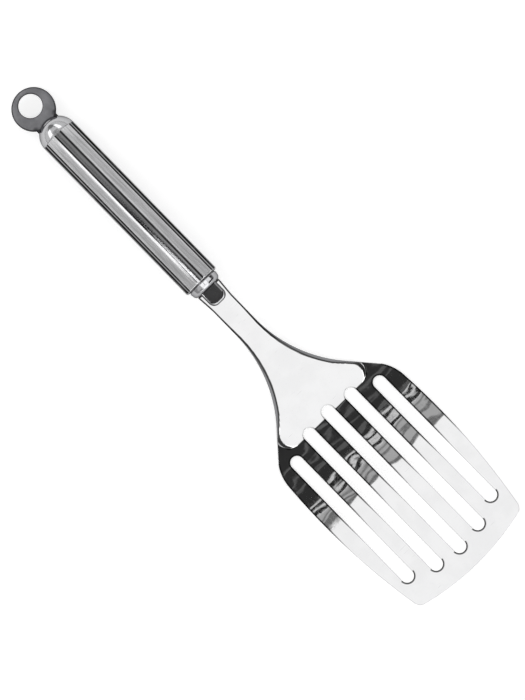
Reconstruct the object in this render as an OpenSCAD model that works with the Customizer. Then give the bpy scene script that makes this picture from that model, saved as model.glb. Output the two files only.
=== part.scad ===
// Slotted fish spatula: a pressed steel blade on a fluted hollow handle with a hanging eye.
// It lies as it rests on a table, on the handle's dome and on the heel of the blade.
// Millimetres. +X runs from the hanging eye to the blade's tip, +Z is up, Y crosses the blade.

/* [Sheet] */
// Thickness of the blade and neck sheet
sheet_t = 1.2; // [0.8:0.1:1.6]

/* [Handle tube] */
// Outside diameter of the handle tube
tube_d = 20; // [18:0.5:23]
// Length of the handle tube
tube_l = 102.6; // [85:0.1:140]
// Wall of the handle tube
tube_wall = 1; // [0.8:0.1:1.4]
// Number of flutes round the handle
flutes = 6; // [4:1:8]
// Width of one flute
flute_w = 3.8; // [2.5:0.1:5]
// Depth of a flute at its middle
flute_depth = 0.35; // [0.2:0.05:0.5]
// Rounding of the tube's front edge
tube_edge_r = 0.8; // [0.3:0.1:0.9]

/* [End dome] */
// Wall of the domed end cap
dome_wall = 1.3; // [0.8:0.1:2]
// Length of the cap's skirt inside the tube
dome_skirt_l = 7; // [4:0.5:15]

/* [Hanging eye] */
// Diameter of the eye's disc
eye_d = 22.4; // [20:0.1:28]
// Diameter of the hanging hole
eye_hole_d = 12.3; // [8:0.1:13]
// Thickness of the eye's plate
eye_t = 2.5; // [1.5:0.1:4]
// Distance from the middle of the dome to the middle of the disc
eye_reach = 18.3; // [17:0.1:20]
// How far the hole sits off the disc's middle, away from the handle
eye_hole_shift = 2.4; // [0:0.1:3]
// Width of the stem that enters the dome
eye_stem_w = 13.4; // [8:0.1:14]
// How far the stem's end lies behind the tip of the dome
eye_stem_depth = 5; // [4:0.1:6.5]

/* [Front collar] */
// Diameter of the collar in front of the tube
collar_d = 17.2; // [16.5:0.1:17.8]
// Length of collar that shows in front of the tube
collar_l = 4.7; // [3:0.1:8]
// Rounding of the collar's front edge
collar_edge_r = 1; // [0.3:0.1:1.5]
// Length of the collar's spigot inside the tube
collar_spigot_l = 16; // [8:0.5:25]
// Width of the groove between the tube and the collar
groove_w = 0.5; // [0.3:0.1:1]
// Depth of the groove below the collar
groove_depth = 0.5; // [0.2:0.1:0.8]

/* [Tang] */
// Width of the tang bar and of the sheet's tang
tang_w = 10.3; // [8:0.1:11.5]
// Thickness of the tang bar
tang_bar_t = 2; // [1.5:0.1:3]
// Length of the tang behind the collar's face
tang_l = 38; // [30:1:60]
// Length of the bar's nose in front of the collar
nose_l = 9.3; // [6:0.1:12]
// Rounding of the nose's corners, seen from above
nose_corner_r = 3.6; // [1:0.1:4]

/* [Neck] */
// Width of the neck at its narrowest
neck_w = 12.8; // [12:0.1:15]
// Width of the neck where it meets the collar
neck_root_w = 14.3; // [13:0.1:15.5]
// Length over which the neck narrows in front of the collar
neck_root_l = 10; // [6:0.5:15]
// Distance from the collar to the heel of the blade
neck_l = 86.9; // [78:0.1:100]
// Slope of the neck below the line of the handle
neck_slope = 14; // [10:0.5:20]
// Inside radius of the bend where the neck leaves the collar
neck_bend_r = 2; // [1:0.5:2.5]
// Distance from the collar to the start of the flare
flare_start = 26.3; // [20:0.1:35]
// Radius of the flare towards the blade
flare_r = 71; // [60:0.1:80]
// Angle that the flare opens to
flare_angle = 42; // [35:0.5:46]
// Depth of the turned-down rim below the neck's sheet
rim_depth = 1.8; // [0.6:0.1:2.2]
// Distance from the collar to the start of the rim
rim_start = 14; // [11:0.5:20]
// Length over which the rim comes in at the neck
rim_rise_l = 26; // [15:1:40]
// Length over which the rim runs out at the heel
rim_fade_l = 20; // [15:1:30]

/* [Blade] */
// Width of the blade at its widest
blade_w = 83.2; // [76:0.1:92]
// Distance from the collar to the blade's tip
head_l = 192.6; // [180:0.1:230]
// Radius of the bend at the heel, on its upper side
heel_r = 6; // [3:0.5:12]
// Rise of the blade at its tip, against the line of the handle
blade_rise = 13; // [3:0.5:15]
// Radius of the shoulders
shoulder_r = 23.2; // [18:0.1:28]
// Angle at which a shoulder runs into the side of the blade
side_angle = 4; // [2:0.5:6]
// Radius of the blade's long sides
side_r = 350; // [250:5:600]
// Radius of the blade's front edge
end_r = 141; // [90:1:300]
// Rounding of the front corners
corner_r = 5; // [2:0.1:9]

/* [Slots] */
// Number of slots
slots = 5; // [3:2:5]
// Width of one slot
slot_w = 6.9; // [5:0.1:8]
// Distance from slot to slot
slot_pitch = 14.6; // [12:0.1:15]
// How far the middle slot starts behind the heel
slot_lead = 4.6; // [0:0.1:8]
// Distance from the middle slot's end to the tip
slot_margin = 9; // [6:0.1:20]
// Radius of the curve that the slots' ends lie on
slot_curve_r = 60; // [50:1:150]

/* [Fits] */
// Gap between pieces that fit into each other
fit_gap = 0.05; // [0.02:0.01:0.1]

/* [Hidden] */
$fn = 96;
cut = 1;
// How far an outline's points may cut inside its arcs
arc_error = 0.015;
// The blade's side view runs this much past the tip, and its outline trims it
blade_past = 1.2;
// Flat that is left at the tube's mouth inside its rounded edge
mouth_flat = 0.1;

wide = 2 * blade_w;
tube_r = tube_d / 2;
bore_r = tube_r - tube_wall;
collar_r = collar_d / 2;
eye_r = eye_d / 2;
face_x = tube_l + collar_l;
tang_end_x = face_x - tang_l;
tip_x = face_x + head_l;

// Side view of the sheet's upper face: level tang, bend at the collar, sloping neck, heel, blade
bend_r = neck_bend_r + sheet_t;
bend_x = face_x + bend_r * tan(neck_slope / 2) + fit_gap;
heel_x = face_x + neck_l;
heel_z = -(heel_x - bend_x) * tan(neck_slope);
heel_run = heel_r * tan(neck_slope / 2);
blade_x = heel_x + heel_run;
blade_r = (tip_x - blade_x) / sin(blade_rise);
neck_up = [sin(neck_slope), cos(neck_slope)];
bend_c = [bend_x - bend_r * tan(neck_slope / 2), -bend_r];
heel_c = [blade_x, heel_z + heel_r];
blade_c = [blade_x, heel_z + blade_r];
neck_run = (heel_x - bend_x) / cos(neck_slope);

// Outline of the head from above: neck, flare arc, straight stretch, shoulder arc, side arc
neck_half = neck_w / 2;
blade_half = blade_w / 2;
flare_x = face_x + flare_start;
flare_c = [flare_x, neck_half + flare_r];
flare_out = [-sin(flare_angle), cos(flare_angle)];
flare_end = flare_c - flare_r * flare_out;
arcs_rise = shoulder_r * (cos(side_angle) - cos(flare_angle)) + side_r * (1 - cos(side_angle));
straight_l = (blade_half - flare_end.y - arcs_rise) / sin(flare_angle);
straight_end = flare_end + straight_l * [cos(flare_angle), sin(flare_angle)];
shoulder_c = straight_end - shoulder_r * flare_out;
side_x = shoulder_c.x - shoulder_r * sin(side_angle);
side_c = [side_x + side_r * sin(side_angle), blade_half - side_r];
end_c = [tip_x - end_r, 0];
corner_c = inner_touch(end_c, end_r - corner_r, side_c, side_r - corner_r);

// The tool tips back until the dome and the heel are level
heel_span = norm(heel_c);
rest_tilt = asin((heel_r + sheet_t - tube_r) / heel_span) - atan2(heel_c.y, heel_c.x);
tip_z = blade_c.y - sqrt(pow(blade_r + sheet_t, 2) - pow(tip_x - blade_c.x, 2));
back_x = -(eye_reach + eye_r) * cos(rest_tilt) - eye_t / 2 * sin(rest_tilt);
front_x = tip_x * cos(rest_tilt) - tip_z * sin(rest_tilt);

// Middle of a circle that touches two larger circles from inside, above their line of centres
function inner_touch(a, a_r, b, b_r) =
    let (
        d = norm(b - a),
        e = (b - a) / d,
        along = (d * d + a_r * a_r - b_r * b_r) / (2 * d),
        off = sqrt(a_r * a_r - along * along)
    )
    a + along * e + off * [-e.y, e.x];

// Direction from one point to another, as an angle
function heading(from, to) = atan2(to.y - from.y, to.x - from.x);

// Points along an arc, without its first point when it carries on from another arc
function arc(c, r, from_angle, to_angle, first = 0) =
    let (steps = ceil(abs(to_angle - from_angle) / 180 * PI * sqrt(r / (8 * arc_error))))
    [for (i = [first:steps]) let (a = from_angle + (to_angle - from_angle) * i / steps)
        c + r * [cos(a), sin(a)]];

// A row of points that ends on the X axis, and its mirror image, as one closed outline
function both_sides(row) =
    concat(row, [for (i = [len(row) - 2:-1:0]) [row[i].x, -row[i].y]]);

// One side of the head's outline from above, drawn in by the inset
function head_edge(inset) = concat(
    [[face_x, neck_root_w / 2 - inset], [face_x + neck_root_l, neck_half - inset]],
    arc(flare_c, flare_r + inset, -90, -90 + flare_angle),
    arc(shoulder_c, shoulder_r - inset, 90 + flare_angle, 90 + side_angle),
    arc(side_c, side_r - inset, 90 + side_angle, heading(side_c, corner_c), 1),
    arc(corner_c, corner_r - inset, heading(side_c, corner_c), heading(end_c, corner_c), 1),
    arc(end_c, end_r - inset, heading(end_c, corner_c), 0, 1)
);

// A line along the sheet seen from the side, at a depth below its upper face
function sheet_line(depth) = concat(
    [[tang_end_x, -depth]],
    arc(bend_c, bend_r - depth, 90, 90 - neck_slope),
    arc(heel_c, heel_r + depth, -90 - neck_slope, -90),
    arc(blade_c, blade_r + depth, -90, -90 + blade_past * blade_rise, 1)
);

// Places a piece from the line of the handle into its resting place on the table
module at_rest() {
    translate([-(back_x + front_x) / 2, 0, tube_r])
        rotate([0, -rest_tilt, 0])
            children();
}

// Extrudes a shape seen from above
module from_above() {
    linear_extrude(height = wide, center = true) children();
}

// Extrudes a shape seen from the side, drawn as X and Z
module from_side() {
    rotate([90, 0, 0]) linear_extrude(height = wide, center = true) children();
}

// Turns a shape, drawn as radius and length, about the handle's axis
module turned() {
    rotate([0, 90, 0]) rotate_extrude() children();
}

// A bar drawn as radius and length, with its outer far edge rounded
module edge_rounded(inner, outer, length, edge) {
    translate([inner, 0]) square([outer - inner, length - edge]);
    translate([inner, 0]) square([outer - inner - edge, length]);
    translate([outer - edge, length - edge]) circle(edge);
}

// Side view of the sheet
module sheet_side() {
    lower = sheet_line(sheet_t);
    polygon(concat(sheet_line(0), [for (i = [len(lower) - 1:-1:0]) lower[i]]));
}

// Side view of the turned-down rim, measured along the neck
module rim_side() {
    rim_low = -sheet_t - rim_depth;
    translate([bend_x, 0]) rotate(-neck_slope) polygon([
        [rim_start, -sheet_t / 2],
        [rim_start, -sheet_t],
        [rim_start + rim_rise_l, rim_low],
        [neck_run - rim_fade_l, rim_low],
        [neck_run, -sheet_t],
        [neck_run, -sheet_t / 2]
    ]);
}

// The head from above, drawn in by the inset all round
module head_plan(inset = 0) {
    polygon(both_sides(head_edge(inset)));
}

// One slot from above
module slot_plan(start_x, end_x) {
    slot_r = slot_w / 2;
    translate([start_x + slot_r, -slot_r]) square([end_x - start_x - slot_w, slot_w]);
    for (x = [start_x + slot_r, end_x - slot_r]) translate([x, 0]) circle(slot_r);
}

// All slots from above, with their ends on two curves
module slots_plan() {
    for (i = [0:slots - 1]) {
        y = (i - (slots - 1) / 2) * slot_pitch;
        sag = slot_curve_r - sqrt(slot_curve_r * slot_curve_r - y * y);
        translate([0, y]) slot_plan(heel_x - slot_lead + sag, tip_x - slot_margin - sag);
    }
}

// The flutes, as bars that are cut from the outside of the handle
module flute_cuts() {
    for (i = [0:flutes - 1]) rotate([i * 360 / flutes, 0, 0])
        translate([-tube_r, -flute_w / 2, tube_r - flute_depth])
            cube([tube_r + tube_l + cut, flute_w, flute_depth + cut]);
}

// The space that the sheet's tang and the tang bar take up in the collar
module tang_cut() {
    translate([tang_end_x, -tang_w / 2 - fit_gap, -sheet_t - fit_gap])
        cube([tang_l + cut, tang_w + 2 * fit_gap, sheet_t + tang_bar_t + 2 * fit_gap]);
}

// The eye's stem, grown by a gap, from the middle of the disc to its end inside the dome
module eye_stem(gap) {
    translate([-eye_reach, -eye_stem_w / 2 - gap, -eye_t / 2 - gap])
        cube([eye_reach - tube_r + eye_stem_depth + gap, eye_stem_w + 2 * gap, eye_t + 2 * gap]);
}

// Pressed sheet: tang, sloping neck with turned-down rims, heel and slotted blade
module blade() {
    color("gainsboro") at_rest() difference() {
        union() {
            intersection() {
                from_side() sheet_side();
                from_above() {
                    head_plan();
                    translate([tang_end_x, -tang_w / 2]) square([tang_l + cut, tang_w]);
                }
            }
            intersection() {
                from_side() rim_side();
                from_above() difference() {
                    head_plan();
                    head_plan(sheet_t);
                }
            }
        }
        from_above() slots_plan();
    }
}

// Flat bar on top of the sheet's tang, with a nose that lies on the neck
module tang_bar() {
    nose_x = face_x + nose_l;
    color("dimgray") at_rest() intersection() {
        from_side() polygon([
            [tang_end_x, 0],
            [bend_x, 0],
            [nose_x + cut, -(nose_x + cut - bend_x) * tan(neck_slope)],
            [nose_x + cut, tang_bar_t],
            [tang_end_x, tang_bar_t]
        ]);
        from_above() {
            translate([tang_end_x, -tang_w / 2])
                square([nose_x - nose_corner_r - tang_end_x, tang_w]);
            translate([nose_x - 2 * nose_corner_r, -tang_w / 2 + nose_corner_r])
                square([2 * nose_corner_r, tang_w - 2 * nose_corner_r]);
            for (side = [-1, 1])
                translate([nose_x - nose_corner_r, side * (tang_w / 2 - nose_corner_r)])
                    circle(nose_corner_r);
        }
    }
}

// Turned plug that closes the front of the tube and holds the tang in a slot
module front_collar() {
    color("silver") at_rest() difference() {
        turned() {
            translate([0, tube_l - collar_spigot_l]) square([bore_r - fit_gap, collar_spigot_l]);
            translate([0, tube_l - cut]) square([collar_r - groove_depth, groove_w + 2 * cut]);
            translate([0, tube_l + groove_w])
                edge_rounded(0, collar_r, collar_l - groove_w, collar_edge_r);
        }
        tang_cut();
    }
}

// Hollow handle with flutes along its whole length
module handle_tube() {
    edge = min(tube_edge_r, tube_wall - mouth_flat);
    color("darkgray") at_rest() difference() {
        turned() edge_rounded(bore_r, tube_r, tube_l, edge);
        flute_cuts();
    }
}

// Domed cap with a skirt in the tube and a slot for the eye's stem
module end_dome() {
    skirt_r = bore_r - fit_gap;
    skirt_start = 2 * dome_wall;
    color("lightgray") at_rest() difference() {
        turned() {
            intersection() {
                difference() {
                    circle(tube_r);
                    circle(tube_r - dome_wall);
                }
                translate([0, -tube_r]) square([tube_r, tube_r]);
            }
            translate([skirt_r - dome_wall, -skirt_start])
                square([dome_wall, dome_skirt_l + skirt_start]);
        }
        eye_stem(fit_gap);
        flute_cuts();
    }
}

// Flat disc with the hanging hole and a stem that is welded into the dome
module hanging_eye() {
    color("gray") at_rest() difference() {
        union() {
            translate([-eye_reach, 0, 0]) cylinder(r = eye_r, h = eye_t, center = true);
            eye_stem(0);
        }
        translate([-eye_reach - eye_hole_shift, 0, 0])
            cylinder(r = eye_hole_d / 2, h = eye_t + 2 * cut, center = true);
    }
}

blade();
tang_bar();
front_collar();
handle_tube();
end_dome();
hanging_eye();
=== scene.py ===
"""A slotted fish spatula in polished steel: its pieces, their finishes and its stage.

Pieces are modelled in millimetres along the handle's axis, and then laid down as they rest.
"""

import math
import bmesh
import bpy
import numpy as np
from mathutils import Matrix, Vector


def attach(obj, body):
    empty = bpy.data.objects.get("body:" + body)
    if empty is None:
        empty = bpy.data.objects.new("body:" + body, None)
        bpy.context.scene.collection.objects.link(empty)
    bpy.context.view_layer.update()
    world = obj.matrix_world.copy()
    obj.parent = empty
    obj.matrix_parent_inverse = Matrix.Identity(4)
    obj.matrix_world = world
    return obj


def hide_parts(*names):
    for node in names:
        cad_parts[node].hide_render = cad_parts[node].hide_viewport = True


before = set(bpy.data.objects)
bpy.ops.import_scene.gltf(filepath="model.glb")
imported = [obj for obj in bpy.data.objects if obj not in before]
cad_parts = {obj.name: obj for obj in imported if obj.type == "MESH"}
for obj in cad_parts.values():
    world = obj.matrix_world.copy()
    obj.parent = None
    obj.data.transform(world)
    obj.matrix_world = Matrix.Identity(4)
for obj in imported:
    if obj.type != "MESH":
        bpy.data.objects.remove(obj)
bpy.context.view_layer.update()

bl_info = {
    "name": "Fish Spatula",
    "version": (1, 0, 0),
    "blender": (4, 5, 0),
    "location": "View3D > Sidebar > Spatula",
    "description": "Models the pieces of a slotted spatula around its packed solids",
    "category": "Object",
}

BODY = "root"
MM = 0.001

# Attributes of the sheet: how far a point lies from its nearest edge, and 1 where that is outside
EDGE_DISTANCE = "edge_distance"
OUTER_EDGE = "outer_edge"
# In millimetres, a distance that counts as none and one that counts as out of reach
SLIVER = 1e-3
FAR = 1e3
# Play that is left inside the tube, in millimetres
FIT_GAP = 0.05


def length(name, millimetres, description):
    """A length that a user may change."""
    return bpy.props.FloatProperty(
        name=name,
        description=description,
        default=millimetres * MM,
        min=0.0,
        precision=5,
        subtype="DISTANCE",
        unit="LENGTH",
    )


def turn(name, degrees, description):
    """An angle that a user may change."""
    return bpy.props.FloatProperty(
        name=name,
        description=description,
        default=math.radians(degrees),
        subtype="ANGLE",
        unit="ROTATION",
    )


def tint(name, value, description):
    """A colour that a user may change."""
    return bpy.props.FloatVectorProperty(
        name=name, description=description, default=value, size=3, min=0.0, max=1.0, subtype="COLOR"
    )


class SpatulaHandleSizes(bpy.types.PropertyGroup):
    """Sizes of the tube, its flutes, the dome, the eye and the collar"""

    tube_d: length("Tube diameter", 20, "Outside diameter of the handle tube")
    tube_l: length("Tube length", 102.6, "Length of the handle tube")
    tube_wall: length("Tube wall", 1, "Wall of the handle tube")
    tube_edge_r: length("Tube edge", 0.8, "Rounding of the tube's front edge")
    seam_r: length("Seam edge", 0.12, "Rounding of the edges where the tube meets the dome")
    flute_w: length("Flute width", 3.8, "Width of one flute")
    flute_depth: length("Flute depth", 0.35, "Depth of a flute at its middle")
    flute_lip: length("Flute lip", 0.3, "Width of the rounded step at a flute's edge")
    flute_crown: length("Flute crown", 0.08, "How much higher a flute's middle is than its edges")
    flutes: bpy.props.IntProperty(
        name="Flutes", description="Number of flutes round the handle", default=6, min=3, max=8
    )
    eye_d: length("Eye diameter", 22.4, "Diameter of the eye's disc")
    eye_hole_d: length("Hole diameter", 12.3, "Diameter of the hanging hole")
    eye_t: length("Eye thickness", 2.5, "Thickness of the eye's plate")
    eye_reach: length("Eye reach", 18.3, "From the middle of the dome to the middle of the disc")
    eye_hole_shift: length("Hole shift", 2.4, "How far the hole sits off the disc's middle")
    eye_edge_r: length("Eye edge", 0.35, "Rounding of the disc's edges")
    stem_w: length("Stem width", 13.4, "Width of the stem that enters the dome")
    stem_depth: length("Stem depth", 5, "How far the stem reaches into the dome")
    collar_d: length("Collar diameter", 17.2, "Diameter of the collar in front of the tube")
    collar_l: length("Collar length", 4.7, "Length of collar that shows in front of the tube")
    collar_front_r: length("Collar front", 2.3, "Rounding of the collar's front edge")
    collar_taper: turn("Collar taper", 9, "Slope of the collar between its rounded edges")
    collar_back_r: length("Collar back", 0.5, "Rounding of the collar's back edge")
    groove_w: length("Groove width", 0.5, "Width of the groove behind the collar")
    groove_depth: length("Groove depth", 0.5, "Depth of the groove below the collar")
    tang_w: length("Tang width", 10.3, "Width of the tang bar and of the sheet's tang")
    tang_l: length("Tang length", 38, "Length of the tang behind the collar's face")
    tang_bar_t: length("Tang bar thickness", 2, "Thickness of the tang bar")
    nose_l: length("Nose length", 9.3, "Length of the bar's nose in front of the collar")
    nose_corner_r: length("Nose corners", 3.6, "Rounding of the nose's corners from above")
    nose_edge_r: length("Nose edge", 1.1, "Rounding of the nose's upper edge")


class SpatulaHeadSizes(bpy.types.PropertyGroup):
    """Sizes of the pressed sheet: neck, heel, blade and slots"""

    sheet_t: length("Sheet thickness", 1.2, "Thickness of the blade and neck sheet")
    edge_r: length("Sheet edge", 0.2, "Rounding of the sheet's edges")
    neck_w: length("Neck width", 12.8, "Width of the neck at its narrowest")
    neck_root_w: length("Neck root width", 14.3, "Width of the neck at the collar")
    neck_root_l: length("Neck root length", 10, "Length over which the neck narrows")
    neck_l: length("Neck length", 86.9, "Distance from the collar to the heel")
    neck_slope: turn("Neck slope", 14, "Slope of the neck below the handle's line")
    neck_bend_r: length("Neck bend", 2, "Inside radius of the bend at the collar")
    flare_start: length("Flare start", 26.3, "Distance from the collar to the flare")
    flare_r: length("Flare radius", 71, "Radius of the flare towards the blade")
    flare_angle: turn("Flare angle", 42, "Angle that the flare opens to")
    rim_depth: length("Rim depth", 1.8, "Depth of the turned-down rim below the sheet")
    rim_start: length("Rim start", 14, "Distance from the collar to the start of the rim")
    rim_rise_l: length("Rim rise", 26, "Length over which the rim comes in")
    rim_fade_l: length("Rim fade", 20, "Length over which the rim runs out")
    fold_root: length("Fold at the collar", 0.8, "Width of the folded edge at the collar")
    fold_w: length("Fold", 2.3, "Width of the folded edge at the shoulder")
    fold_corner_w: length("Fold at the corners", 1.6, "Width of the fold at the panel's corners")
    fold_r: length("Fold radius", 1.3, "Radius of the fold's bend, at most")
    fold_slope: turn("Fold slope", 44, "Slope of the folded edge beyond its bend")
    fold_corner_r: length("Fold corner", 0.9, "Radius of the fold round the panel's corners")
    panel_corner_r: length("Panel corners", 6, "Rounding of the neck panel's corners")
    panel_past: length("Panel end", 0.4, "How far the panel's corners reach past the heel")
    blade_w: length("Blade width", 83.2, "Width of the blade at its widest")
    head_l: length("Head length", 192.6, "Distance from the collar to the blade's tip")
    heel_r: length("Heel bend", 6, "Radius of the bend at the heel")
    blade_rise: turn("Blade rise", 13, "Rise of the blade at its tip")
    shoulder_r: length("Shoulder radius", 23.2, "Radius of the shoulders")
    side_angle: turn("Side angle", 4, "Angle at which a shoulder meets the side")
    side_r: length("Side radius", 350, "Radius of the blade's long sides")
    end_r: length("End radius", 141, "Radius of the blade's front edge")
    corner_r: length("Corner radius", 5, "Rounding of the front corners")
    slots: bpy.props.IntProperty(
        name="Slots", description="Number of slots", default=5, min=3, max=5
    )
    slot_w: length("Slot width", 6.9, "Width of one slot")
    slot_pitch: length("Slot pitch", 14.6, "Distance from slot to slot")
    slot_lead: length("Slot lead", 4.6, "How far the middle slot starts behind the heel")
    slot_margin: length("Slot margin", 9, "From the middle slot's end to the tip")
    slot_curve_r: length("Slot curve", 60, "Radius of the curve that the slots' ends lie on")


class SpatulaShadeAndWaves(bpy.types.PropertyGroup):
    """Sizes of the painted shade along the sheet's edges, inside its folds and on the flutes' lips,
    and of the waves in the polish
    """

    # Painted shade and painted dark reflection along the sheet's edges: a thin line, wider and
    # darker beside the heel and at the slots' tips
    edge_w: length("Dark edge", 0.26, "Width of the dark line along the sheet's edges")
    heavy_shade_w: length("Worn edge", 1.04, "Width of that line beside the heel and at the tips")
    heavy_shade_l: length("Worn length", 38, "How far the worn edges run past the heel")
    heavy_shade_fade_l: length("Worn fade", 24, "Length over which the worn edges end")
    tip_zone_l: length("Tip zone", 3.4, "Length of a slot's end whose edge is worn")
    # Painted shade inside the folds
    crease_w: length("Crease", 0.8, "Width of the dark line inside a fold")
    crease_corner_w: length("Crease corners", 1.6, "Width of that line at the panel's corners")
    wave_h: length("Wave height", 0.06, "Height of the slow waves in the sheet")
    ripple_h: length("Ripple height", 0.0045, "Height of the ripples past the heel")
    ripple_middle: length("Ripple middle", 21, "Distance from the heel to the ripples' middle")
    ripple_reach: length("Ripple reach", 24, "How far the ripples reach from their middle")
    # Painted shade along the flutes' lips
    near_lip_shade_w: length("Near grime", 0.45, "Width of the grime on the top flute's near lip")
    far_lip_shade_w: length("Far grime", 0.5625, "Width of the grime on the top flute's far lip")
    side_lip_shade_w: length("Side grime", 1.35, "Width of the grime on the other flutes' lips")


class SpatulaStage(bpy.types.PropertyGroup):
    """Sizes of the stage, and the power of its lamp"""

    camera_far: length("Camera distance", 1500, "Distance from the spatula to the camera")
    floor_w: length("Floor width", 8000, "Width of the paper that the spatula lies on")
    lamp_w: length("Lamp width", 1600, "Diameter of the lamp above the floor")
    lamp_power: bpy.props.FloatProperty(
        name="Lamp power", description="Power of the lamp", default=3, min=0, unit="POWER"
    )


class SpatulaColours(bpy.types.PropertyGroup):
    """Colours of the steel, each before its grain and its painted shade, and the colours laid over
    them
    """

    sheet: tint("Sheet", (0.88, 0.88, 0.885), "Mirror polished blade and neck")
    fold: tint("Fold", (0.30, 0.30, 0.31), "Folded edges of the neck, which the polish misses")
    # Painted shade, for the sheet's edges and for the creases inside its folds
    cut: tint("Cut edges", (0.06, 0.06, 0.06), "Edges of the slots and of the outline")
    collar: tint("Collar", (0.40, 0.40, 0.41), "Polished collar")
    dome: tint("Dome", (0.49, 0.49, 0.50), "Polished dome")
    nose: tint("Nose", (0.50, 0.50, 0.51), "Nose of the tang bar")
    lands: tint("Lands", (0.66, 0.66, 0.67), "Brushed lands between the flutes")
    # Painted shade: the flutes' floors are painted darker than the lands
    flutes: tint("Flutes", (0.46, 0.46, 0.47), "Floors of the flutes")
    # Painted shade along the flutes' lips
    lip_shade: tint("Grime", (0.03, 0.03, 0.03), "Dark lines along the flutes")
    disc: tint("Disc", (0.20, 0.20, 0.21), "Dull disc of the hanging eye")


class Millimetres:
    """Reads a group of sizes as plain millimetres and radians."""

    def __init__(self, group):
        for key, prop in group.bl_rna.properties.items():
            if prop.type in {"FLOAT", "INT"}:
                value = getattr(group, key)
                setattr(self, key, value / MM if getattr(prop, "unit", "") == "LENGTH" else value)


def arc(centre, radius, start, end, first=0, error=0.01):
    """Points along an arc; first=1 leaves out its first point."""
    steps = max(2, math.ceil(abs(end - start) * math.sqrt(radius / (8 * error))))
    angles = [start + (end - start) * i / steps for i in range(first, steps + 1)]
    return [centre + radius * Vector((math.cos(a), math.sin(a))) for a in angles]


def inner_touch(a, a_r, b, b_r):
    """Middle of a circle that touches two larger circles from inside."""
    d = (b - a).length
    e = (b - a) / d
    along = (d * d + a_r * a_r - b_r * b_r) / (2 * d)
    return a + along * e + math.sqrt(a_r * a_r - along * along) * Vector((-e.y, e.x))


def heading(start, end):
    """Direction from one point to another."""
    return math.atan2(end.y - start.y, end.x - start.x)


def smooth_step(value, low, high):
    """0 below low, 1 above high and a soft rise between them."""
    t = np.clip((np.asarray(value, float) - low) / (high - low), 0.0, 1.0)
    return t * t * (3 - 2 * t)


def soft_least(a, b, power=5):
    """The lesser of two drops, rounded where they meet."""
    a, b = np.maximum(a, 1e-9), np.maximum(b, 1e-9)
    return a * b / (a**power + b**power) ** (1 / power)


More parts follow.
